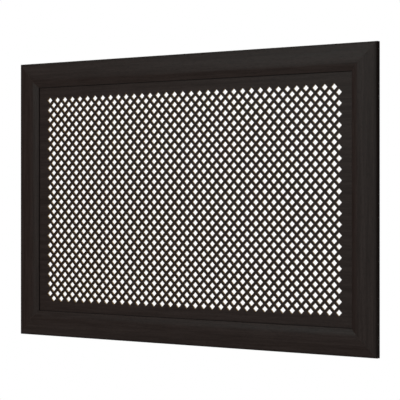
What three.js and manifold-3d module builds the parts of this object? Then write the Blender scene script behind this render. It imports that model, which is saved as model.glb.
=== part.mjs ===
// A flat radiator screen: a mitred frame of wood-grain moulding round a thin perforated panel.
// Millimetres, +Z up, the face looks along -Y. The origin is on the middle of the bottom rail's outer edge.
import * as THREE from 'three';
import { mergeGeometries, mergeVertices } from 'three/addons/utils/BufferGeometryUtils.js';
import Module from 'manifold-3d';

// Overall sizes
const overallWidth = 900;
const overallHeight = 600;
const backFromOrigin = 4; // the frame's flat back lies this far behind the origin
const fitGap = 0.3; // clearance between pieces that touch

// Frame moulding, one section for all four members
const memberWidth = 54;
const crownHeight = 16; // thickest place of the moulding, above its back
const crownInset = 38.5; // the crown's distance from the outer edge
const edgeHeight = 12.6; // height of the outer edge
const edgeRadius = 3;
const slopeInset = 22; // where the straight outer slope ends and the crown begins to bend
const slopeHeight = 14.9;
const innerBendShare = 0.38; // share of the inner slope's width that its bend leans towards
const lipRadius = 1;
const backWall = 5.9; // wood behind the panel's groove
const lipThickness = 2.5; // wood in front of the groove, at the frame's inner edge
const grooveDepth = 8;

// Perforated panel
const panelThickness = 3;
const panelEdgeClearance = 1; // between the panel's edge and the groove's floor
const holePitch = 18.75; // from one column, or row, of diamond holes to the next
const barWidth = 8; // solid bar between two diamonds
const leastMargin = 29; // least distance from a hole's centre to the frame's inner edge

// Steel hardware on the back
const strapThickness = 2; // sheet that the corner plates and the hooks are cut from
const plateLegWidth = 16;
const plateNearHole = 20; // from the middle of the plate's elbow
const plateFarHole = 44;
const hookFromCentre = 250;
const hookWidth = 20;
const hookTopInset = 4; // below the frame's top edge
const hookGap = 25; // room for the radiator between the hook's leg and its lip
const hookLipLength = 20;
const hookScrewToGroove = 7; // wood between the lower screw's axis and the panel's groove
const hookScrewSpacing = 10;
const hookEndDistance = 6; // from the lower screw's axis to the leg's end
const hookBendRadius = 3;
const strapCornerRadius = 4;

// Countersunk wood screws
const screwLength = 12;
const screwHeadRadius = 3.5;
const screwShankRadius = 1.75;
const screwPointLength = 3;
const pilotEndGap = 0.5; // past the screw's point

// Smoothness
const screwSides = 12;
const mouldingSteps = 8; // to each of the moulding's four curves
const strapSteps = 6; // to each bend or round end of the straps, an even number
const cutterOverrun = 1; // how far a cutter runs past the face it opens

// Levels and sizes that follow from the ones above
const grooveWidth = panelThickness + 2 * fitGap;
const panelMidY = backFromOrigin - backWall - grooveWidth / 2;
const openingWidth = overallWidth - 2 * memberWidth;
const openingHeight = overallHeight - 2 * memberWidth;
const strapFrontY = backFromOrigin + fitGap;
const strapBackY = strapFrontY + strapThickness;
const lipHeight = backWall + grooveWidth + lipThickness;
const outerRise = (slopeHeight - edgeHeight) / (slopeInset - edgeRadius); // the outer slope's steepness
const crownPullInset = slopeInset + (crownHeight - slopeHeight) / outerRise;
const innerPullInset = crownInset + innerBendShare * (memberWidth - lipRadius - crownInset);
const plateCentreInset = memberWidth / 2; // the plates follow the middle of the members
const hookLowerHole = memberWidth - grooveDepth - hookScrewToGroove - hookTopInset; // below the hook's top
const hookUpperHole = hookLowerHole - hookScrewSpacing;
const hookLegLength = hookLowerHole + hookEndDistance;
const headHeight = screwHeadRadius - screwShankRadius; // a countersink of 45 degrees
const coneClearance = fitGap * Math.SQRT2; // a sideways gap that leaves fitGap across a 45-degree cone
const screwDepthInWood = screwLength - strapThickness - fitGap;
const quarterTurn = Math.PI / 2;

const filmedWood = new THREE.MeshStandardMaterial({ color: 0x2a2220, roughness: 0.42, metalness: 0 });
const filmedBoard = new THREE.MeshStandardMaterial({ color: 0x2b2422, roughness: 0.5, metalness: 0 });
const zincSteel = new THREE.MeshStandardMaterial({ color: 0xb4b8bb, roughness: 0.35, metalness: 1 });
const screwSteel = new THREE.MeshStandardMaterial({ color: 0xc6c0a4, roughness: 0.3, metalness: 1 });

const wasm = await Module();
wasm.setup();

// A closed geometry, or several closed ones in one, as a solid for cutting
function solidFrom(geometry) {
  const bare = geometry.index ? geometry.toNonIndexed() : geometry.clone();
  bare.deleteAttribute('normal');
  bare.deleteAttribute('uv');
  const merged = mergeVertices(bare, 1e-4);
  return new wasm.Manifold(new wasm.Mesh({
    numProp: 3,
    vertProperties: merged.attributes.position.array,
    triVerts: new Uint32Array(merged.index.array),
  }));
}

function geometryFrom(solid) {
  const mesh = solid.getMesh();
  const geometry = new THREE.BufferGeometry();
  geometry.setAttribute('position', new THREE.BufferAttribute(mesh.vertProperties, 3));
  geometry.setIndex(new THREE.BufferAttribute(mesh.triVerts, 1));
  geometry.computeVertexNormals();
  return geometry;
}

function addPiece(group, name, geometry, material, x = 0, y = 0, z = 0) {
  const piece = new THREE.Mesh(geometry, material.clone());
  piece.name = name;
  piece.position.set(x, y, z);
  group.add(piece);
  return piece;
}

// An outline pushed along an axis: 'X' pushes (y, z) outlines, 'Y' pushes (x, z) outlines backwards
function pushed(outline, depth, along) {
  const geometry = new THREE.ExtrudeGeometry(outline, {
    depth,
    bevelEnabled: false,
    curveSegments: strapSteps / 2, // an arc takes two to a segment
  });
  if (along === 'X') {
    geometry.applyMatrix4(new THREE.Matrix4().set(0, 0, 1, 0, 1, 0, 0, 0, 0, 1, 0, 0, 0, 0, 0, 1));
  } else {
    geometry.rotateX(quarterTurn);
    geometry.translate(0, depth, 0);
  }
  return geometry;
}

// Section of the moulding: across it from the outer edge, and up from its flat back.
// From the outer edge a long straight slope rises gently to the crown, and a short steep bend falls
// from there to the lip over the panel.
function mouldingSection() {
  const grooveTop = backWall + grooveWidth;
  const section = new THREE.Shape();
  section.moveTo(0, 0);
  section.lineTo(0, edgeHeight - edgeRadius);
  section.quadraticCurveTo(0, edgeHeight - edgeRadius / 4, edgeRadius, edgeHeight);
  section.lineTo(slopeInset, slopeHeight);
  section.quadraticCurveTo(crownPullInset, crownHeight, crownInset, crownHeight);
  section.quadraticCurveTo(innerPullInset, crownHeight, memberWidth - lipRadius, lipHeight);
  section.quadraticCurveTo(memberWidth, lipHeight - lipRadius / 2, memberWidth, lipHeight - lipRadius);
  section.lineTo(memberWidth, grooveTop);
  section.lineTo(memberWidth - grooveDepth, grooveTop);
  section.lineTo(memberWidth - grooveDepth, backWall);
  section.lineTo(memberWidth, backWall);
  section.lineTo(memberWidth, 0);
  section.closePath();
  return section;
}

// One frame member along X, outer edge at z = 0, with both ends mitred at 45 degrees by sliding each
// end point in by its own distance from the outer edge, and a pilot hole at each [x, z] of screwPlaces
function memberGeometry(length, screwPlaces) {
  const stick = new THREE.ExtrudeGeometry(mouldingSection(), {
    depth: length,
    bevelEnabled: false,
    curveSegments: mouldingSteps,
  });
  const mitreSetback = fitGap / Math.SQRT2; // half the joint's gap, measured along the member
  const points = stick.attributes.position;
  for (let i = 0; i < points.count; i += 1) {
    const across = points.getX(i);
    const height = points.getY(i);
    const end = points.getZ(i) > length / 2 ? 1 : -1;
    const reach = length / 2 - across - mitreSetback;
    points.setXYZ(i, end * reach, backFromOrigin - height, across);
  }
  const pilotDepth = screwDepthInWood + pilotEndGap;
  const pilots = screwPlaces.map(([x, z]) => {
    const pilot = new THREE.CylinderGeometry(
      screwShankRadius + fitGap,
      screwShankRadius + fitGap,
      pilotDepth + cutterOverrun,
      screwSides,
    );
    return pilot.translate(x, backFromOrigin + (cutterOverrun - pilotDepth) / 2, z);
  });
  return geometryFrom(solidFrom(stick).subtract(solidFrom(mergeGeometries(pilots))));
}

// Both screws of both corner plates that lie on one member
function plateScrewPlaces(length) {
  const places = [];
  for (const end of [-1, 1]) {
    for (const hole of [plateNearHole, plateFarHole]) {
      places.push([end * (length / 2 - plateCentreInset - hole), plateCentreInset]);
    }
  }
  return places;
}

function hookScrewPlaces() {
  const places = [];
  for (const side of [-1, 1]) {
    for (const hole of [hookUpperHole, hookLowerHole]) {
      places.push([side * hookFromCentre, hookTopInset + hole]);
    }
  }
  return places;
}

function addFrame(group) {
  const halfWidth = overallWidth / 2;
  const halfHeight = overallHeight / 2;
  const members = [
    { name: 'bottom_rail', length: overallWidth, turns: 0, x: 0, z: 0, extra: [] },
    { name: 'left_stile', length: overallHeight, turns: 1, x: -halfWidth, z: halfHeight, extra: [] },
    { name: 'top_rail', length: overallWidth, turns: 2, x: 0, z: overallHeight, extra: hookScrewPlaces() },
    { name: 'right_stile', length: overallHeight, turns: 3, x: halfWidth, z: halfHeight, extra: [] },
  ];
  for (const { name, length, turns, x, z, extra } of members) {
    const geometry = memberGeometry(length, [...plateScrewPlaces(length), ...extra]);
    addPiece(group, name, geometry, filmedWood, x, 0, z).rotation.y = turns * quarterTurn;
  }
}

// An even number of columns or rows of holes, as many as the opening takes inside the least margin
function evenCount(opening) {
  return 2 * Math.floor(((opening - 2 * leastMargin) / holePitch + 1) / 2);
}

// Thin board cut through with square holes that stand on a corner. A hole sits wherever column and
// row are both even or both odd, so two square grids of holes interlace and the bars run at 45 degrees.
function addPanel(group) {
  const reach = grooveDepth - panelEdgeClearance;
  const board = new THREE.BoxGeometry(openingWidth + 2 * reach, panelThickness, openingHeight + 2 * reach);
  const columns = evenCount(openingWidth);
  const rows = evenCount(openingHeight);
  const holeSide = holePitch * Math.SQRT2 - barWidth;
  const holes = [];
  for (let column = 0; column < columns; column += 1) {
    for (let row = column % 2; row < rows; row += 2) {
      const hole = new THREE.BoxGeometry(holeSide, panelThickness + 2 * cutterOverrun, holeSide);
      hole.rotateY(quarterTurn / 2);
      hole.translate(
        (column - (columns - 1) / 2) * holePitch,
        0,
        ((rows - 1) / 2 - row) * holePitch,
      );
      holes.push(hole);
    }
  }
  const perforated = solidFrom(board).subtract(solidFrom(mergeGeometries(holes)));
  addPiece(group, 'perforated_panel', geometryFrom(perforated), filmedBoard, 0, panelMidY, overallHeight / 2);
}

// A body turned about Y from [radius, height] steps that start and end on its axis, lowest first
function turned(steps) {
  return new THREE.LatheGeometry(steps.map(([radius, y]) => new THREE.Vector2(radius, y)), screwSides);
}

// A screw whose flat head faces +Y at y = 0
function screwGeometry() {
  return turned([
    [0, -screwLength],
    [screwShankRadius, screwPointLength - screwLength],
    [screwShankRadius, -headHeight],
    [screwHeadRadius, 0],
    [0, 0],
  ]);
}

// The countersunk hole that such a screw leaves in a sheet whose back face is at y = 0
function countersinkCutter() {
  const shank = screwShankRadius + coneClearance;
  const head = screwHeadRadius + coneClearance;
  const through = -strapThickness - cutterOverrun;
  return turned([
    [0, through],
    [shank, through],
    [shank, -headHeight],
    [head, 0],
    [head, cutterOverrun],
    [0, cutterOverrun],
  ]);
}

// Flat L plate with round ends, its elbow's middle at the origin and its legs along +X and +Z
function cornerPlateGeometry() {
  const half = plateLegWidth / 2;
  const outline = new THREE.Shape();
  outline.moveTo(-half + strapCornerRadius, -half);
  outline.lineTo(plateFarHole, -half);
  outline.absarc(plateFarHole, 0, half, -quarterTurn, quarterTurn, false);
  outline.lineTo(half, half);
  outline.lineTo(half, plateFarHole);
  outline.absarc(0, plateFarHole, half, 0, 2 * quarterTurn, false);
  outline.lineTo(-half, -half + strapCornerRadius);
  outline.absarc(
    -half + strapCornerRadius, -half + strapCornerRadius, strapCornerRadius,
    2 * quarterTurn, 3 * quarterTurn, false,
  );
  const sheet = pushed(outline, strapThickness, 'Y').translate(0, -strapThickness, 0);
  const cutters = plateHolePlaces().map(([x, z]) => countersinkCutter().translate(x, 0, z));
  return geometryFrom(solidFrom(sheet).subtract(solidFrom(mergeGeometries(cutters))));
}

function plateHolePlaces() {
  return [[plateNearHole, 0], [plateFarHole, 0], [0, plateNearHole], [0, plateFarHole]];
}

function addCornerPlates(group) {
  const halfWidth = overallWidth / 2;
  const corners = [
    { name: 'bottom_left', turns: 0, x: -halfWidth, z: 0 },
    { name: 'top_left', turns: 1, x: -halfWidth, z: overallHeight },
    { name: 'top_right', turns: 2, x: halfWidth, z: overallHeight },
    { name: 'bottom_right', turns: 3, x: halfWidth, z: 0 },
  ];
  for (const { name, turns, x, z } of corners) {
    const corner = new THREE.Group();
    corner.position.set(x, strapBackY, z);
    corner.rotation.y = turns * quarterTurn;
    group.add(corner);
    addPiece(
      corner, name + '_corner_plate', cornerPlateGeometry(), zincSteel,
      plateCentreInset, 0, plateCentreInset,
    );
    plateHolePlaces().forEach(([holeX, holeZ], i) => {
      addPiece(
        corner, name + '_plate_screw_' + (i + 1), screwGeometry(), screwSteel,
        plateCentreInset + holeX, 0, plateCentreInset + holeZ,
      );
    });
  }
}

// Side view of the bent hook in (y, z): its leg's front is at y = 0 and its top at z = 0
function hookSideView() {
  const depth = hookGap + 2 * strapThickness;
  const outer = hookBendRadius + strapThickness;
  const view = new THREE.Shape();
  view.moveTo(0, -hookLegLength);
  view.lineTo(strapThickness, -hookLegLength);
  view.lineTo(strapThickness, -outer);
  view.absarc(outer, -outer, hookBendRadius, 2 * quarterTurn, quarterTurn, true);
  view.lineTo(depth - outer, -strapThickness);
  view.absarc(depth - outer, -outer, hookBendRadius, quarterTurn, 0, true);
  view.lineTo(depth - strapThickness, -hookLipLength);
  view.lineTo(depth, -hookLipLength);
  view.lineTo(depth, -outer);
  view.absarc(depth - outer, -outer, outer, 0, quarterTurn, false);
  view.lineTo(outer, 0);
  view.absarc(outer, -outer, outer, quarterTurn, 2 * quarterTurn, false);
  view.closePath();
  return view;
}

// Back view of one end of the hook's strap, with its two lower corners rounded
function strapEnd(length) {
  const half = hookWidth / 2;
  const view = new THREE.Shape();
  view.moveTo(half, cutterOverrun);
  view.lineTo(-half, cutterOverrun);
  view.lineTo(-half, strapCornerRadius - length);
  view.absarc(
    strapCornerRadius - half, strapCornerRadius - length, strapCornerRadius,
    2 * quarterTurn, 3 * quarterTurn, false,
  );
  view.lineTo(half - strapCornerRadius, -length);
  view.absarc(
    half - strapCornerRadius, strapCornerRadius - length, strapCornerRadius,
    3 * quarterTurn, 4 * quarterTurn, false,
  );
  view.closePath();
  return view;
}

function hookGeometry() {
  const middle = strapThickness + hookGap / 2;
  const bent = pushed(hookSideView(), hookWidth, 'X').translate(-hookWidth / 2, 0, 0);
  const half = middle + cutterOverrun;
  const legBlank = pushed(strapEnd(hookLegLength), half, 'Y').translate(0, -cutterOverrun, 0);
  const lipBlank = pushed(strapEnd(hookLipLength), half, 'Y').translate(0, middle, 0);
  const cutters = [hookUpperHole, hookLowerHole].map((drop) => (
    countersinkCutter().translate(0, strapThickness, -drop)
  ));
  const blank = solidFrom(legBlank).add(solidFrom(lipBlank));
  return geometryFrom(solidFrom(bent).intersect(blank).subtract(solidFrom(mergeGeometries(cutters))));
}

function addHooks(group) {
  const hookTop = overallHeight - hookTopInset;
  for (const [side, name] of [[-1, 'left_hook'], [1, 'right_hook']]) {
    const x = side * hookFromCentre;
    addPiece(group, name, hookGeometry(), zincSteel, x, strapFrontY, hookTop);
    for (const [drop, place] of [[hookUpperHole, 'upper'], [hookLowerHole, 'lower']]) {
      const screwName = name + '_' + place + '_screw';
      addPiece(group, screwName, screwGeometry(), screwSteel, x, strapBackY, hookTop - drop);
    }
  }
}

const screen = new THREE.Group();
addFrame(screen);
addPanel(screen);
addCornerPlates(screen);
addHooks(screen);

export default screen;
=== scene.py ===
import math

import bmesh
import bpy
from mathutils import Matrix, Vector
from mathutils.geometry import delaunay_2d_cdt


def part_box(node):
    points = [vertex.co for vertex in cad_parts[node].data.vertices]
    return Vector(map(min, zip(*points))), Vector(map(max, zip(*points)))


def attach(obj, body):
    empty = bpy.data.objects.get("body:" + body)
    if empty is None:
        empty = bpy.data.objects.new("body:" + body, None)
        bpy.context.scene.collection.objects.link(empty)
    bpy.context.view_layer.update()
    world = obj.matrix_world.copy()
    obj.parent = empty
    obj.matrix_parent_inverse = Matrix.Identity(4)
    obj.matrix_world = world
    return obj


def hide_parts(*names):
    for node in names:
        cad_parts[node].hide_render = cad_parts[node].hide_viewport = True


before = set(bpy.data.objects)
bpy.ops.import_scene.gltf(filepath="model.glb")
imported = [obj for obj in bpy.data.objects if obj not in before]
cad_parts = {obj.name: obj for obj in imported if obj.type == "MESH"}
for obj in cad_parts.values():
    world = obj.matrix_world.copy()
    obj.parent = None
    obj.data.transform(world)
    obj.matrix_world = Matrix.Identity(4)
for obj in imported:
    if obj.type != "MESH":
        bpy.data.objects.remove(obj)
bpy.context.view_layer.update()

mm = 0.001
quarterTurn = math.pi / 2
print("frame loaded:", len(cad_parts), "pieces")

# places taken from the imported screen
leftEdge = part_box("left_stile")[0].x
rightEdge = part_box("right_stile")[1].x
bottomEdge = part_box("bottom_rail")[0].z
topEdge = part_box("top_rail")[1].z
middleX = (leftEdge + rightEdge) / 2
middleZ = (bottomEdge + topEdge) / 2
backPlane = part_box("bottom_rail")[1].y
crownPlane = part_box("bottom_rail")[0].y
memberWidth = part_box("bottom_rail")[1].z - bottomEdge
panelLow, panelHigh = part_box("perforated_panel")


# the camera stands where the photograph was taken
camera = {
    "fromMiddle": (1838.6 * mm, -2534.8 * mm, 6.2 * mm),  # along x, y and z from the panel's middle
    "turn": 35.388,  # degrees, level, looking back to the left
    "lens": 136.78,
    "sensor": 36,
    "shiftY": -0.0089,
    "farthest": 50,  # metres that it sees, past the floor's far end
}


def setUpCamera():
    data = bpy.data.cameras.new("photoCamera")
    data.lens = camera["lens"]
    data.sensor_width = camera["sensor"]
    data.shift_y = camera["shiftY"]
    data.clip_end = camera["farthest"]
    seat = bpy.data.objects.new("photoCamera", data)
    panelMiddle = Vector((middleX, (panelLow.y + panelHigh.y) / 2, middleZ))
    seat.location = panelMiddle + Vector(camera["fromMiddle"])
    seat.rotation_euler = (quarterTurn, 0, math.radians(camera["turn"]))
    bpy.context.scene.collection.objects.link(seat)
    bpy.context.scene.camera = seat


setUpCamera()
print("camera placed")


# small helpers for shader nodes

def newMaterial(name):
    material = bpy.data.materials.new(name)
    material.use_nodes = True
    return material, material.node_tree, material.node_tree.nodes["Principled BSDF"]


def plugIn(tree, socket, value):
    if isinstance(value, bpy.types.NodeSocket):
        tree.links.new(value, socket)
    else:
        socket.default_value = value


def addNode(tree, kind, plugs=None, **settings):
    made = tree.nodes.new("ShaderNode" + kind)
    for key, value in settings.items():
        setattr(made, key, value)
    for key, value in (plugs or {}).items():
        plugIn(tree, made.inputs[key], value)
    return made


def addPattern(tree, place, pattern, turn=(0, 0, 0), offset=(0, 0, 0)):
    # a pattern is how large a cell of the noise is along x, y and z, in metres, and then the noise's
    # detail, its roughness and its waviness
    size, detail, roughness, waviness = pattern
    turned = addNode(tree, "Mapping", {"Vector": place, "Rotation": turn, "Location": offset})
    scale = tuple(1 / s for s in size)
    scaled = addNode(tree, "Mapping", {"Vector": turned.outputs["Vector"], "Scale": scale})
    noise = addNode(tree, "TexNoise", {
        "Vector": scaled.outputs["Vector"],
        "Scale": 1.0,
        "Detail": detail,
        "Roughness": roughness,
        "Distortion": waviness,
    })
    return noise.outputs["Fac"]


def ramp(tree, value, low, high, fromLow=0.0, fromHigh=1.0):
    plugs = {"Value": value, "From Min": fromLow, "From Max": fromHigh, "To Min": low, "To Max": high}
    return addNode(tree, "MapRange", plugs).outputs["Result"]


def mixColour(tree, share, first, second, blend="MIX"):
    # a colour Mix node has its share in socket 0 and its colours in sockets 6 and 7
    made = addNode(tree, "Mix", {0: share}, data_type="RGBA", blend_type=blend)
    plugIn(tree, made.inputs[6], first)
    plugIn(tree, made.inputs[7], second)
    return made.outputs[2]


def maths(tree, operation, first, second=0.0):
    return addNode(tree, "Math", {0: first, 1: second}, operation=operation).outputs[0]


def blended(tree, first, second, share):
    weighted = maths(tree, "MULTIPLY", first, share), maths(tree, "MULTIPLY", second, 1 - share)
    return maths(tree, "ADD", *weighted)


def addBump(tree, surface, height, strength, distance):
    bump = addNode(tree, "Bump", {"Height": height, "Strength": strength, "Distance": distance})
    tree.links.new(bump.outputs["Normal"], surface.inputs["Normal"])


# where most values of a noise lie
noiseMiddle = (0.38, 0.62)
noiseSpread = (0.3, 0.7)


# the dark film on the frame and the panel
wenge = {
    "dark": (0.0575, 0.0340, 0.0278, 1),
    "light": (0.0880, 0.0580, 0.0500, 1),
    "pore": (0.0300, 0.0182, 0.0148, 1),
    "bands": ((0.45, 0.011, 0.011), 2.0, 0.55, 0.0),  # along the grain, then across it
    "streaks": ((0.070, 0.0032, 0.0032), 4.0, 0.6, 0.15),
    "pores": ((0.009, 0.00055, 0.00055), 2.0, 0.55, 0.0),
    "bandShare": 0.45,  # of the tone, and the streaks make the rest
    "poreLevels": (0.36, 0.44),  # below the first it is all pore
    "poreShare": 0.6,
    "roughness": (0.35, 0.46),
    "gloss": 0.32,
    "paintedCoolReflectionTint": (0.78, 1.0, 0.98, 1),  # painted cool reflection: the lamps' cool tint set in the film's gloss
    "bump": 0.10 * mm,
    "bumpStrength": 0.35,
    "streakRelief": 0.5,
    # painted shade on the members' rounded outer edges, fading out over edgeReach
    "edgePaintedShade": 0.55,
    "edgeReach": 6 * mm,
    "scuffs": ((0.012, 0.0016, 0.0016), 5.0, 0.65, 0.0),
    "scuffLevels": (0.62, 0.70),
    "rub": 0.5,
    "rubReach": 1.5 * mm,
    "rubRoughness": 0.15,
    "groove": (0.016, 0.010, 0.008, 1),  # painted shade: the near-black colour painted beside the lip and along the members' outer edges
    "grooveShade": (0.3 * mm, 1.5 * mm),  # painted shade beside the lip, full and end of it, from the opening's edge
    "grooveRoughness": 0.4,
    "panelOffset": (3.1, 0.4, 1.7),  # which stretch of the grain the panel shows
}


def paintedLipShadeMask(tree, place, opening):
    # painted shade beside the lip: 1 under the lip and close beside it, 0 a little way into the opening
    apart = addNode(tree, "SeparateXYZ", {"Vector": place}).outputs
    reaches = []
    for socket, centre, half in ((apart["X"], middleX, opening[0]), (apart["Z"], middleZ, opening[1])):
        fromCentre = maths(tree, "ABSOLUTE", maths(tree, "SUBTRACT", socket, centre))
        reaches.append(maths(tree, "SUBTRACT", half, fromCentre))
    nearest = maths(tree, "MINIMUM", *reaches)
    return ramp(tree, nearest, 1, 0, *wenge["grooveShade"])


def outerEdge(tree, place, edge):
    # how far a point of a member lies from its outer edge, which is a level of x or of z
    axis, level = edge
    apart = addNode(tree, "SeparateXYZ", {"Vector": place}).outputs
    return maths(tree, "ABSOLUTE", maths(tree, "SUBTRACT", apart[axis], level))


def wengeFilm(name, alongZ, offset, opening=None, edge=None):
    # opening is half the width and half the height of one, round whose edge the film is painted darker as
    # the lip's shade.
    # edge is the outer edge of a member, where the film is painted darker as shade on its rounding, and
    # is a little rubbed
    w = wenge
    material, tree, surface = newMaterial(name)
    place = addNode(tree, "TexCoord").outputs["Object"]
    turn = (0, quarterTurn, 0) if alongZ else (0, 0, 0)
    band = addPattern(tree, place, w["bands"], turn, offset)
    streak = addPattern(tree, place, w["streaks"], turn, offset)
    fleck = addPattern(tree, place, w["pores"], turn, offset)
    tone = blended(tree, band, streak, w["bandShare"])
    wood = mixColour(tree, ramp(tree, tone, 0, 1, *noiseMiddle), w["dark"], w["light"])
    pore = ramp(tree, fleck, 1, 0, *w["poreLevels"])
    surface.inputs["Specular IOR Level"].default_value = w["gloss"]
    # painted cool reflection tint on the film's gloss
    surface.inputs["Specular Tint"].default_value = w["paintedCoolReflectionTint"]
    colour = mixColour(tree, maths(tree, "MULTIPLY", pore, w["poreShare"]), wood, w["pore"])
    rough = ramp(tree, streak, *w["roughness"], *noiseSpread)
    if opening:
        # painted shade beside the lip, with a rougher film there
        paintedLipShade = paintedLipShadeMask(tree, place, opening)
        colour = mixColour(tree, paintedLipShade, colour, w["groove"])
        rough = maths(tree, "ADD", rough, maths(tree, "MULTIPLY", paintedLipShade, w["grooveRoughness"]))
    if edge:
        fromEdge = outerEdge(tree, place, edge)
        # painted shade, darkest at the outer edge
        paintedEdgeShade = ramp(tree, fromEdge, w["edgePaintedShade"], 0, 0, w["edgeReach"])
        colour = mixColour(tree, paintedEdgeShade, colour, w["groove"])
        scuff = ramp(tree, addPattern(tree, place, w["scuffs"], turn, offset), 0, 1, *w["scuffLevels"])
        rubbed = maths(tree, "MULTIPLY", scuff, ramp(tree, fromEdge, 1, 0, 0, w["rubReach"]))
        colour = mixColour(tree, maths(tree, "MULTIPLY", rubbed, w["rub"]), colour, w["light"])
        rough = maths(tree, "ADD", rough, maths(tree, "MULTIPLY", rubbed, w["rubRoughness"]))
    tree.links.new(colour, surface.inputs["Base Color"])
    tree.links.new(rough, surface.inputs["Roughness"])
    relief = maths(tree, "SUBTRACT", maths(tree, "MULTIPLY", streak, w["streakRelief"]), pore)
    addBump(tree, surface, relief, w["bumpStrength"], w["bump"])
    return material


# bare fibreboard: the frame's back, the panel's back and the walls of its holes, these lightened with
# painted light; also a near-black board as painted shade on the lip's inner wall
rawBoardLook = {
    "frameBack": ((0.36, 0.245, 0.145, 1), (0.22, 0.14, 0.078, 1)),  # pale and deep tone
    # hole walls: the board's lighter core, made paler still as painted light from the backdrop behind
    "holeWallPaintedLight": ((0.63, 0.445, 0.185, 1), (0.48, 0.315, 0.12, 1)),
    "panelBack": ((0.30, 0.185, 0.10, 1), (0.21, 0.125, 0.065, 1)),
    # near-black board as painted shade on the lip's inner wall
    "lipWallPaintedShade": ((0.022, 0.014, 0.012, 1), (0.012, 0.008, 0.007, 1)),
    "fibres": ((0.0011, 0.0011, 0.0011), 5.0, 0.7, 0.0),
    "clouds": ((0.028, 0.028, 0.028), 3.0, 0.55, 0.0),
    "flecks": ((0.0024, 0.0024, 0.0024), 2.0, 0.5, 1.5),
    "fleckLevels": (0.64, 0.70),
    "fleckShare": 0.45,
    "fibreShare": 0.5,
    "roughness": (0.75, 0.92),
    "bump": 0.2 * mm,
    "bumpStrength": 0.4,
}


def rawBoard(name, pale, deep, offset=(0, 0, 0)):
    r = rawBoardLook
    material, tree, surface = newMaterial(name)
    place = addNode(tree, "TexCoord").outputs["Object"]
    fibre = addPattern(tree, place, r["fibres"], offset=offset)
    cloud = addPattern(tree, place, r["clouds"], offset=offset)
    fleck = addPattern(tree, place, r["flecks"], offset=offset)
    tone = blended(tree, fibre, cloud, r["fibreShare"])
    board = mixColour(tree, ramp(tree, tone, 0, 1, *noiseMiddle), deep, pale)
    flecked = ramp(tree, fleck, 0, r["fleckShare"], *r["fleckLevels"])
    board = mixColour(tree, flecked, board, deep, "MULTIPLY")
    tree.links.new(board, surface.inputs["Base Color"])
    tree.links.new(ramp(tree, fibre, *r["roughness"]), surface.inputs["Roughness"])
    addBump(tree, surface, fibre, r["bumpStrength"], r["bump"])
    return material


# the zinc coat of the plates and hooks, and the yellow one of the screws
zincLook = {
    "plates": ((0.62, 0.63, 0.65, 1), (0.43, 0.44, 0.46, 1)),  # bright and dull
    "screws": ((0.66, 0.58, 0.36, 1), (0.45, 0.37, 0.20, 1)),
    "brushing": ((0.010, 0.0003, 0.0003), 3.0, 0.55, 0.0),
    "stains": ((0.006, 0.006, 0.006), 4.0, 0.6, 0.0),
    "brushShare": 0.35,
    "toneLevels": (0.35, 0.62),
    "roughness": (0.55, 0.34),  # of the dull and of the bright spots
    "metallic": (0.72, 0.95),
    "bump": 0.03 * mm,
    "bumpStrength": 0.25,
}


def zinc(name, bright, dull):
    k = zincLook
    material, tree, surface = newMaterial(name)
    place = addNode(tree, "TexCoord").outputs["Object"]
    brushed = addPattern(tree, place, k["brushing"])
    stain = addPattern(tree, place, k["stains"])
    tone = blended(tree, brushed, stain, k["brushShare"])
    coat = mixColour(tree, ramp(tree, tone, 0, 1, *k["toneLevels"]), dull, bright)
    tree.links.new(coat, surface.inputs["Base Color"])
    tree.links.new(ramp(tree, tone, *k["roughness"], *noiseSpread), surface.inputs["Roughness"])
    tree.links.new(ramp(tree, tone, *k["metallic"], *noiseSpread), surface.inputs["Metallic"])
    addBump(tree, surface, brushed, k["bumpStrength"], k["bump"])
    return material


panelOpening = ((rightEdge - leftEdge) / 2 - memberWidth, (topEdge - bottomEdge) / 2 - memberWidth)
# hole walls: board tone plus painted light from the backdrop behind
holeWallBoardPaintedLight = rawBoard("holeWallBoardPaintedLight", *rawBoardLook["holeWallPaintedLight"])
hardboardBack = rawBoard("hardboardBack", *rawBoardLook["panelBack"])
panelFilm = wengeFilm("panelFilm", False, wenge["panelOffset"], panelOpening)
# painted shade on the lip's inner wall
lipWallPaintedShade = rawBoard("lipWallPaintedShade", *rawBoardLook["lipWallPaintedShade"])
brightZinc = zinc("brightZinc", *zincLook["plates"])
yellowZinc = zinc("yellowZinc", *zincLook["screws"])
print("finishes mixed")


# making and fastening pieces

def newPiece(name, mesh, materials, node):
    piece = bpy.data.objects.new(name, mesh)
    bpy.context.scene.collection.objects.link(piece)
    if not mesh.materials:
        for material in materials:
            mesh.materials.append(material)
    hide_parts(node)
    return piece


def smoothed(mesh, sharpAngle):
    mesh.shade_smooth()
    mesh.set_sharp_from_angle(angle=math.radians(sharpAngle))
    return mesh


def meshFrom(name, points, faces, finishes=None):
    mesh = bpy.data.meshes.new(name)
    mesh.from_pydata(points, [], faces)
    for face, finish in zip(mesh.polygons, finishes or ()):
        face.material_index = finish
    mesh.validate()
    mesh.update()
    return mesh


def facingOut(mesh):
    shape = bmesh.new()
    shape.from_mesh(mesh)
    bmesh.ops.recalc_face_normals(shape, faces=shape.faces)
    shape.to_mesh(mesh)
    shape.free()
    return mesh


def cutFrom(mesh, cutter):
    # what is left of a mesh when another has been cut out of it
    block = bpy.data.objects.new("block", mesh)
    tool = bpy.data.objects.new("tool", cutter)
    for part in (block, tool):
        bpy.context.scene.collection.objects.link(part)
    cut = block.modifiers.new("cut", "BOOLEAN")
    cut.operation = "DIFFERENCE"
    cut.solver = "EXACT"
    cut.object = tool
    graph = bpy.context.evaluated_depsgraph_get()
    left = bpy.data.meshes.new_from_object(block.evaluated_get(graph))
    bpy.data.objects.remove(block)
    bpy.data.objects.remove(tool)
    return left


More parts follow.
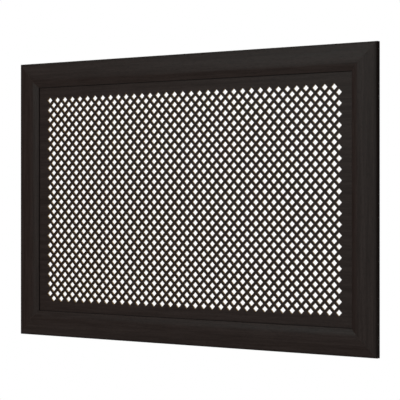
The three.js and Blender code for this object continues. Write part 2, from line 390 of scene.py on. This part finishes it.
# the frame: one film-wrapped moulding, mitred four times
moulding = {
    "edgeHeight": 12.6 * mm,  # outer edge, above the flat back
    "edgeRadius": 3.0 * mm,
    "slopeInset": 22 * mm,  # where the straight outer slope ends and the crown begins to bend
    "slopeHeight": 14.9 * mm,
    "crownHeight": backPlane - crownPlane,
    "crownInset": 38.5 * mm,  # the crown's distance from the outer edge
    "innerPull": 5.5 * mm,  # how far the crown runs on level before it drops to the lip
    "lipHeight": 12.0 * mm,
    "lipRadius": 1.0 * mm,
    "edgePull": 0.25,  # shape of the two rounded edges, as a share of their radius
    "lipPull": 0.4,
    "backWall": 5.9 * mm,
    "grooveWidth": 3.6 * mm,
    "grooveDepth": 8 * mm,
    "filmTurnover": 7 * mm,  # film folded on to the back along both edges
    "mitreGap": 0.06 * mm,
    "steps": {"edge": 10, "crown": 20, "lip": 8},
    "sharpAngle": 32,
}
# finishes: the film, the bare board, and painted shade on the lip's inner wall
filmFace, boardFace, paintedShadeFace = 0, 1, 2


def bow(start, pull, end, steps):
    # a bent stretch from start to end, drawn towards the point pull
    points = []
    for i in range(1, steps + 1):
        t = i / steps
        first, second, third = (1 - t) ** 2, 2 * t * (1 - t), t * t
        points.append(tuple(first * a + second * b + third * c for a, b, c in zip(start, pull, end)))
    return points


def mouldingSection():
    # (distance from the outer edge, height above the back, finish of the stretch that starts there)
    m = moulding
    width, crown, steps = memberWidth, m["crownHeight"], m["steps"]
    edge = (0, m["edgeHeight"] - m["edgeRadius"])
    edgePull = (0, m["edgeHeight"] - m["edgePull"] * m["edgeRadius"])
    shoulder = (m["edgeRadius"], m["edgeHeight"])
    slopeEnd = (m["slopeInset"], m["slopeHeight"])
    rise = (slopeEnd[1] - shoulder[1]) / (slopeEnd[0] - shoulder[0])
    crownPull = (slopeEnd[0] + (crown - slopeEnd[1]) / rise, crown)
    top = (m["crownInset"], crown)
    innerPull = (top[0] + m["innerPull"], crown)
    inner = (width - m["lipRadius"], m["lipHeight"])
    lipPull = (width, m["lipHeight"] - m["lipPull"] * m["lipRadius"])
    lip = (width, m["lipHeight"] - m["lipRadius"])

    face = [(0, 0), edge, *bow(edge, edgePull, shoulder, steps["edge"]), slopeEnd]
    face += bow(slopeEnd, crownPull, top, steps["crown"])
    face += bow(top, innerPull, inner, steps["crown"])
    face += bow(inner, lipPull, lip, steps["lip"])
    section = [(*point, filmFace) for point in face]
    # the lip's inner wall gets the near-black painted shade
    section[-1] = (*face[-1], paintedShadeFace)

    # round the groove and along the back
    wall, lipBottom = m["backWall"], m["backWall"] + m["grooveWidth"]
    grooveFloor = width - m["grooveDepth"]
    section += [(width, lipBottom, boardFace), (grooveFloor, lipBottom, boardFace)]
    section += [(grooveFloor, wall, boardFace), (width, wall, filmFace), (width, 0, filmFace)]
    section += [(width - m["filmTurnover"], 0, boardFace), (m["filmTurnover"], 0, filmFace)]
    return section


def memberMesh(name, length):
    section = mouldingSection()
    count = len(section)
    points = []
    for end in (-1, 1):
        for across, height, finish in section:
            reach = length / 2 - across - moulding["mitreGap"]
            points.append((end * reach, backPlane - height, across))
    faces = []
    for i in range(count):
        after = (i + 1) % count
        faces.append((i, after, after + count, i + count))
    faces.append(tuple(reversed(range(count))))
    faces.append(tuple(range(count, 2 * count)))
    finishes = [finish for across, height, finish in section] + [boardFace, boardFace]
    return smoothed(facingOut(meshFrom(name, points, faces, finishes)), moulding["sharpAngle"])


def addMember(name, node, length, turns, x, z, film, board):
    mesh = memberMesh(name, length)
    mesh.transform(Matrix.Translation((x, 0, z)) @ Matrix.Rotation(turns * quarterTurn, 4, "Y"))
    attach(newPiece(name, mesh, [film, board, lipWallPaintedShade], node), "root")


frameWidth, frameHeight = rightEdge - leftEdge, topEdge - bottomEdge
members = {
    # node, length, quarter turns, place, grain upright or not, the grain's offset, tone of the bare back
    "bottomRail": ("bottom_rail", frameWidth, 0, middleX, bottomEdge, False, (0.0, 0.0, 0.0), 1.0),
    "leftStile": ("left_stile", frameHeight, 1, leftEdge, middleZ, True, (1.3, 0.2, 0.7), 0.90),
    "topRail": ("top_rail", frameWidth, 2, middleX, topEdge, False, (2.1, 0.6, 0.2), 0.97),
    "rightStile": ("right_stile", frameHeight, 3, rightEdge, middleZ, True, (0.7, 0.9, 1.9), 0.88),
}
for name, (node, length, turns, x, z, upright, offset, tone) in members.items():
    edge = ("X", x) if upright else ("Z", z)
    film = wengeFilm(name + "Film", upright, offset, edge=edge)
    pale, deep = ([tone * c for c in colour[:3]] + [1] for colour in rawBoardLook["frameBack"])
    addMember(name, node, length, turns, x, z, film, rawBoard(name + "Board", pale, deep, offset))
print("frame members mitred")


# sheets cut with holes: the perforated panel, the corner plates and the hooks' blanks

def cutSheet(name, levels, crossCuts=(), finishes=(0, 0, 0)):
    # levels go through the sheet from its front: (depth, outline, holes), all with the same point counts.
    # finishes are for the front, the walls and the back
    outline, holes = levels[0][1:]
    loops = [outline, *holes]
    flat = [Vector(point) for loop in loops for point in loop]
    rings, start = [], 0
    for loop in loops:
        rings.append(list(range(start, start + len(loop))))
        start += len(loop)
    tolerance = 1e-7
    made = delaunay_2d_cdt(flat, list(crossCuts), rings, 0, tolerance)
    source = [ids[0] for ids in made[3]]
    # faces inside ring 0 alone are sheet, and those inside another ring too are holes
    cap = [tuple(source[v] for v in face) for face, inside in zip(made[2], made[5]) if inside == [0]]
    count = len(flat)
    points = []
    for depth, outline, holes in levels:
        points += [(x, depth, z) for loop in (outline, *holes) for x, z in loop]
    faces = list(cap)
    marks = [finishes[0]] * len(cap)
    for level in range(len(levels) - 1):
        here, below = level * count, (level + 1) * count
        for k, ring in enumerate(rings):
            for i, first in enumerate(ring):
                second = ring[(i + 1) % len(ring)]
                wall = (second + here, first + here, first + below, second + below)
                faces.append(wall if k == 0 else wall[::-1])
                marks.append(finishes[1])
    last = (len(levels) - 1) * count
    faces += [tuple(v + last for v in reversed(face)) for face in cap]
    marks += [finishes[2]] * len(cap)
    return meshFrom(name, points, faces, marks)


panel = {
    "columns": 70,
    "rows": 42,
    "pitch": 10.6035 * mm,  # from one column, or row, of holes to the next
    "holeSide": 9.327 * mm,
    "easedEdge": 0.2 * mm,
}


def diamond(x, z, side):
    reach = side / math.sqrt(2)
    return [(x, z + reach), (x - reach, z), (x, z - reach), (x + reach, z)]


def rectangle(low, high, inset):
    left, bottom, right, top = low.x + inset, low.z + inset, high.x - inset, high.z - inset
    return [(left, bottom), (right, bottom), (right, top), (left, top)]


def addPanel():
    p = panel
    places = []
    for column in range(p["columns"]):
        for row in range(column % 2, p["rows"], 2):
            x = middleX + (column - (p["columns"] - 1) / 2) * p["pitch"]
            z = middleZ + ((p["rows"] - 1) / 2 - row) * p["pitch"]
            places.append((x, z))
    eased, front, back = p["easedEdge"], panelLow.y, panelHigh.y
    levels = []
    for depth, opened, inset in ((front, 2 * eased, eased), (front + eased, 0, 0), (back, 0, 0)):
        holes = [diamond(x, z, p["holeSide"] + opened) for x, z in places]
        levels.append((depth, rectangle(panelLow, panelHigh, inset), holes))
    mesh = cutSheet("perforatedPanel", levels, finishes=(0, 1, 2))
    finishes = [panelFilm, holeWallBoardPaintedLight, hardboardBack]
    piece = newPiece("perforatedPanel", mesh, finishes, "perforated_panel")
    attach(piece, "root")
    return len(places)


print("panel perforated with", addPanel(), "holes")


# corner plates, hooks and screws on the back
strap = {
    "thickness": 2 * mm,
    "easedEdge": 0.25 * mm,
    "cornerRadius": 4 * mm,
    "arcSteps": 20,
    "sharpAngle": 30,
}
countersink = {"play": 0.42 * mm, "steps": 32}
screw = {
    "length": 12 * mm,
    "headRadius": 3.5 * mm,
    "headMiddle": 0.3,  # first ring of points on the head, as a share of its radius
    "rim": 0.1 * mm,
    "shankRadius": 1.75 * mm,
    "coreRadius": 1.2 * mm,
    "neckRadius": 0.15 * mm,  # beyond the core's
    "neckHeight": 0.3 * mm,  # between the head's cone and the thread, the same again up to its first turn
    "threadPitch": 1.4 * mm,
    "threadSharpness": 5,
    "pointLength": 3 * mm,
    "pointBlunt": 0.05,
    "recessReach": 2.1 * mm,
    "recessWidth": 1.1 * mm,
    "recessDepth": 1.5 * mm,
    "recessOver": 0.2 * mm,  # the cutter stands this far out of the head, a little wider
    "recessTop": 1.06,
    "recessFloor": 0.45,  # the cross at its floor is this share of its reach
    "recessKeep": 0.4,  # share of its width that doesn't narrow with it
    "sides": 40,
    "ringsPerTurn": 6,
    "sharpAngle": 40,
}


def arc(x, z, radius, start, end):
    steps = strap["arcSteps"]
    turn = [math.radians(start + (end - start) * i / steps) for i in range(steps + 1)]
    return [(x + radius * math.cos(a), z + radius * math.sin(a)) for a in turn]


def countersunk(x, z, depth):
    # the hole's outline at a depth measured from the sheet's front, which lies on the wood
    coneStart = strap["thickness"] - (screw["headRadius"] - screw["shankRadius"])
    radius = screw["shankRadius"] + countersink["play"] + max(0, depth - coneStart)
    turn = [2 * math.pi * i / countersink["steps"] for i in range(countersink["steps"])]
    return [(x + radius * math.cos(a), z + radius * math.sin(a)) for a in turn]


def sheetLevels(outlineAt, holePlaces):
    eased, thickness = strap["easedEdge"], strap["thickness"]
    levels = []
    for depth, inset in ((0, eased), (eased, 0), (thickness - eased, 0), (thickness, eased)):
        levels.append((depth, outlineAt(inset), [countersunk(x, z, depth) for x, z in holePlaces]))
    return levels


def threadedScrew():
    # turned about y, flat head towards +y at y = 0
    s = screw
    sides, shank, core = s["sides"], s["shankRadius"], s["coreRadius"]
    headHeight = s["headRadius"] - shank
    profile = [
        (s["headMiddle"] * s["headRadius"], 0),
        (s["headRadius"] - s["rim"], 0),
        (s["headRadius"], -s["rim"]),
        (core + s["neckRadius"], -headHeight - s["neckHeight"]),
    ]
    angles = [2 * math.pi * i / sides for i in range(sides)]
    rings = [[(r * math.sin(a), y, r * math.cos(a)) for a in angles] for r, y in profile]
    threadTop, tip = -headHeight - 2 * s["neckHeight"], -s["length"]
    steps = round((threadTop - tip) / s["threadPitch"] * s["ringsPerTurn"])
    for k in range(steps):
        y = threadTop + (tip - threadTop) * k / steps
        taper = max(s["pointBlunt"], min(1, (y - tip) / s["pointLength"]))
        ring = []
        for i, angle in enumerate(angles):
            turn = (y / s["threadPitch"] - i / sides) % 1
            crest = max(0, 1 - abs(turn - 0.5) * s["threadSharpness"])
            radius = (core + (shank - core) * crest) * taper
            ring.append((radius * math.sin(angle), y, radius * math.cos(angle)))
        rings.append(ring)
    points = [point for ring in rings for point in ring] + [(0, tip, 0), (0, 0, 0)]
    faces = []
    for k in range(len(rings) - 1):
        for i in range(sides):
            j = (i + 1) % sides
            faces.append((k * sides + i, k * sides + j, (k + 1) * sides + j, (k + 1) * sides + i))
    last, tipPoint, topPoint = (len(rings) - 1) * sides, len(rings) * sides, len(rings) * sides + 1
    for i in range(sides):
        j = (i + 1) % sides
        faces.append((last + i, last + j, tipPoint))
        faces.append((j, i, topPoint))
    return facingOut(meshFrom("screwBlank", points, faces))


def crossRecess():
    # the cutter for the cross in a screw's head, narrower at its floor
    s = screw
    points = []
    for depth, share in ((s["recessOver"], s["recessTop"]), (-s["recessDepth"], s["recessFloor"])):
        long = s["recessReach"] * share
        wide = s["recessWidth"] / 2 * (s["recessKeep"] + (1 - s["recessKeep"]) * share)
        arm = [(long, -wide), (long, wide), (wide, wide)]
        for i in range(4):
            points += [(x, depth, z) for x, z in arm]
            arm = [(-z, x) for x, z in arm]
    count = len(points) // 2
    faces = [tuple(range(count)), tuple(range(count, 2 * count))]
    faces += [(i, (i + 1) % count, (i + 1) % count + count, i + count) for i in range(count)]
    return facingOut(meshFrom("crossRecess", points, faces))


screwMesh = smoothed(cutFrom(threadedScrew(), crossRecess()), screw["sharpAngle"])


def addScrew(name, node, x, z, y, turn):
    piece = newPiece(name, screwMesh, [yellowZinc], node)
    piece.location = (x, y, z)
    piece.rotation_euler = (0, math.radians(turn), 0)
    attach(piece, "root")


plate = {
    "legWidth": 16 * mm,
    "nearHole": 20 * mm,  # from the middle of the elbow
    "farHole": 44 * mm,
    "inset": memberWidth / 2,  # the plates follow the middle of the members
    "screwTurns": (67, 31),  # degrees from screw to screw and from plate to plate
}


def plateOutline(inset):
    half = plate["legWidth"] / 2 - inset
    corner = strap["cornerRadius"] - inset
    far = plate["farHole"]
    points = arc(far, 0, half, -90, 90)
    points.append((half, half))
    points += arc(0, far, half, 0, 180)
    points += arc(-half + corner, -half + corner, corner, 180, 270)
    return points


near, far = plate["nearHole"], plate["farHole"]
plateHoles = [(near, 0), (far, 0), (0, near), (0, far)]
plateMesh = facingOut(cutSheet("cornerPlate", sheetLevels(plateOutline, plateHoles)))
smoothed(plateMesh, strap["sharpAngle"])
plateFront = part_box("top_left_corner_plate")[0].y

for corner, turns, x, z in (
    ("bottomLeft", 0, leftEdge, bottomEdge),
    ("topLeft", 1, leftEdge, topEdge),
    ("topRight", 2, rightEdge, topEdge),
    ("bottomRight", 3, rightEdge, bottomEdge),
):
    node = corner.replace("Left", "_left").replace("Right", "_right")
    seat = Matrix.Translation((x, plateFront, z)) @ Matrix.Rotation(turns * quarterTurn, 4, "Y")
    piece = newPiece(corner + "CornerPlate", plateMesh, [brightZinc], node + "_corner_plate")
    piece.matrix_world = seat @ Matrix.Translation((plate["inset"], 0, plate["inset"]))
    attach(piece, "root")
    perScrew, perPlate = plate["screwTurns"]
    for i, (holeX, holeZ) in enumerate(plateHoles):
        place = seat @ Vector((plate["inset"] + holeX, strap["thickness"], plate["inset"] + holeZ))
        turn = (i * perScrew + turns * perPlate) % 90
        name, screwNode = corner + "PlateScrew" + str(i + 1), node + "_plate_screw_" + str(i + 1)
        addScrew(name, screwNode, place.x, place.z, place.y, turn)
print("corner plates screwed on")


hook = {
    "width": 20 * mm,
    "gap": 25 * mm,
    "legLength": 41 * mm,
    "lipLength": 20 * mm,
    "bendRadius": 3 * mm,
    "bendSteps": 12,
    "holes": {"Upper": (25 * mm, 20), "Lower": (35 * mm, 55)},  # below the top, and the screw's turn
}


def hookLine():
    # the radius outside a bend, and the stretches of the strap from the leg's foot to the lip's end
    outer = hook["bendRadius"] + strap["thickness"]
    leg = hook["legLength"] - outer
    bend = outer * quarterTurn
    bridge = hook["gap"] + 2 * strap["thickness"] - 2 * outer
    lip = hook["lipLength"] - outer
    return outer, leg, bend, bridge, lip


def bentPlace(x, run, depth):
    # a point of the flat blank, run along it and depth from its outer face, on the bent hook
    outer, leg, bend, bridge, lip = hookLine()
    if run <= leg:
        return (x, depth, run - hook["legLength"])
    run -= leg
    if run < bend:
        angle = run / outer
        return (x, outer - (outer - depth) * math.cos(angle), -outer + (outer - depth) * math.sin(angle))
    run -= bend
    if run <= bridge:
        return (x, outer + run, -depth)
    run -= bridge
    far = outer + bridge
    if run < bend:
        angle = run / outer
        return (x, far + (outer - depth) * math.sin(angle), -outer + (outer - depth) * math.cos(angle))
    run -= bend
    return (x, far + outer - depth, -outer - run)


def hookMesh():
    outer, leg, bend, bridge, lip = hookLine()
    total = leg + bend + bridge + bend + lip
    stations = []
    for start in (leg, leg + bend + bridge):
        stations += [start + bend * i / hook["bendSteps"] for i in range(hook["bendSteps"] + 1)]

    def outline(inset):
        half, corner = hook["width"] / 2 - inset, strap["cornerRadius"] - inset
        points = arc(half - corner, inset + corner, corner, -90, 0)
        points += [(half, run) for run in stations]
        points += arc(half - corner, total - inset - corner, corner, 0, 90)
        points += arc(-half + corner, total - inset - corner, corner, 90, 180)
        points += [(-half, run) for run in reversed(stations)]
        points += arc(-half + corner, inset + corner, corner, 180, 270)
        return points

    # straight cuts across the blank, so that it bends in even steps
    arcCount = strap["arcSteps"] + 1
    opposite = arcCount + len(stations) + 2 * arcCount + len(stations) - 1
    crossCuts = [(arcCount + i, opposite - i) for i in range(len(stations))]
    holes = [(0, hook["legLength"] - drop) for drop, turn in hook["holes"].values()]
    mesh = facingOut(cutSheet("hook", sheetLevels(outline, holes), crossCuts))
    for point in mesh.vertices:
        x, depth, run = point.co
        point.co = bentPlace(x, run, depth)
    return smoothed(mesh, strap["sharpAngle"])


hangerMesh = hookMesh()
for side, node in (("left", "left_hook"), ("right", "right_hook")):
    low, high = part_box(node)
    x = (low.x + high.x) / 2
    piece = newPiece(side + "Hook", hangerMesh, [brightZinc], node)
    piece.location = (x, low.y, high.z)
    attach(piece, "root")
    for place, (drop, turn) in hook["holes"].items():
        name, screwNode = side + "Hook" + place + "Screw", node + "_" + place.lower() + "_screw"
        addScrew(name, screwNode, x, high.z - drop, low.y + strap["thickness"], turn)
print("hooks screwed on")


# floor, backdrop and light
studio = {
    "paper": (1, 1, 1, 1),  # pale floor and backdrop as the camera sees them
    "dim": 0.032,  # the same surroundings as a light source
    "floor": (0.29, 0.29, 0.29, 1),  # what the floor gives back of the light that falls on it
    "floorRoughness": 0.8,
    "floorDrop": 0.35,
    "floorSize": 30,
}
coolWhite, warmWhite = (0.955, 0.98, 0.995), (1.0, 0.98, 0.95)
softboxes = {  # degrees right of straight ahead, degrees up, metres away, width and height, watts, colour
    "keyLight": (-19, 27, 3.0, (2.2, 1.4), 8.0, coolWhite),
    "wideLight": (14, 18, 3.0, (6.0, 2.6), 20, coolWhite),
    "lowLight": (5, -16, 1.4, (2.6, 0.7), 0.4, coolWhite),
    "topLight": (0, 80, 2.4, (3.0, 1.6), 4.0, coolWhite),
    "backLight": (188, 42, 3.0, (2.4, 2.0), 53, warmWhite),
    "sideLight": (242, 38, 3.0, (1.8, 2.0), 21, warmWhite),
}


def seenAsPaper(tree, target, plain):
    # pale to the camera, and its own dimmer self as light for the screen
    path = addNode(tree, "LightPath")
    mix = addNode(tree, "MixShader", {0: path.outputs["Is Camera Ray"], 1: plain.outputs[0]})
    kind = "Background" if target.type == "OUTPUT_WORLD" else "Emission"
    paper = addNode(tree, kind, {"Color": studio["paper"], "Strength": 1.0})
    tree.links.new(paper.outputs[0], mix.inputs[2])
    tree.links.new(mix.outputs[0], target.inputs["Surface"])


def setUpBackdrop():
    world = bpy.data.worlds.new("paleStudio")
    world.use_nodes = True
    bpy.context.scene.world = world
    tree = world.node_tree
    plain = tree.nodes["Background"]
    plain.inputs["Color"].default_value = studio["paper"]
    plain.inputs["Strength"].default_value = studio["dim"]
    seenAsPaper(tree, tree.nodes["World Output"], plain)


def layFloor():
    half, drop = studio["floorSize"] / 2, bottomEdge - studio["floorDrop"]
    corners = [(-half, -half, drop), (half, -half, drop), (half, half, drop), (-half, half, drop)]
    mesh = meshFrom("paleFloor", corners, [(0, 1, 2, 3)])
    floor = bpy.data.objects.new("paleFloor", mesh)
    bpy.context.scene.collection.objects.link(floor)
    material, tree, surface = newMaterial("paleFloor")
    surface.inputs["Base Color"].default_value = studio["floor"]
    surface.inputs["Roughness"].default_value = studio["floorRoughness"]
    seenAsPaper(tree, tree.nodes["Material Output"], surface)
    mesh.materials.append(material)


def hangSoftbox(name, side, up, away, size, power, colour):
    light = bpy.data.lights.new(name, "AREA")
    light.shape = "RECTANGLE"
    light.size, light.size_y = size
    light.energy = power
    light.color = colour
    lamp = bpy.data.objects.new(name, light)
    side, up = math.radians(side), math.radians(up)
    towards = Vector((math.sin(side) * math.cos(up), -math.cos(side) * math.cos(up), math.sin(up)))
    lamp.location = Vector((middleX, crownPlane, middleZ)) + away * towards
    lamp.rotation_euler = (-towards).to_track_quat("-Z", "Y").to_euler()
    lamp.visible_camera = False
    bpy.context.scene.collection.objects.link(lamp)


setUpBackdrop()
layFloor()
for name, box in softboxes.items():
    hangSoftbox(name, *box)
bpy.context.scene.view_settings.view_transform = "Standard"
bpy.context.scene.view_settings.look = "None"
print("studio lit")
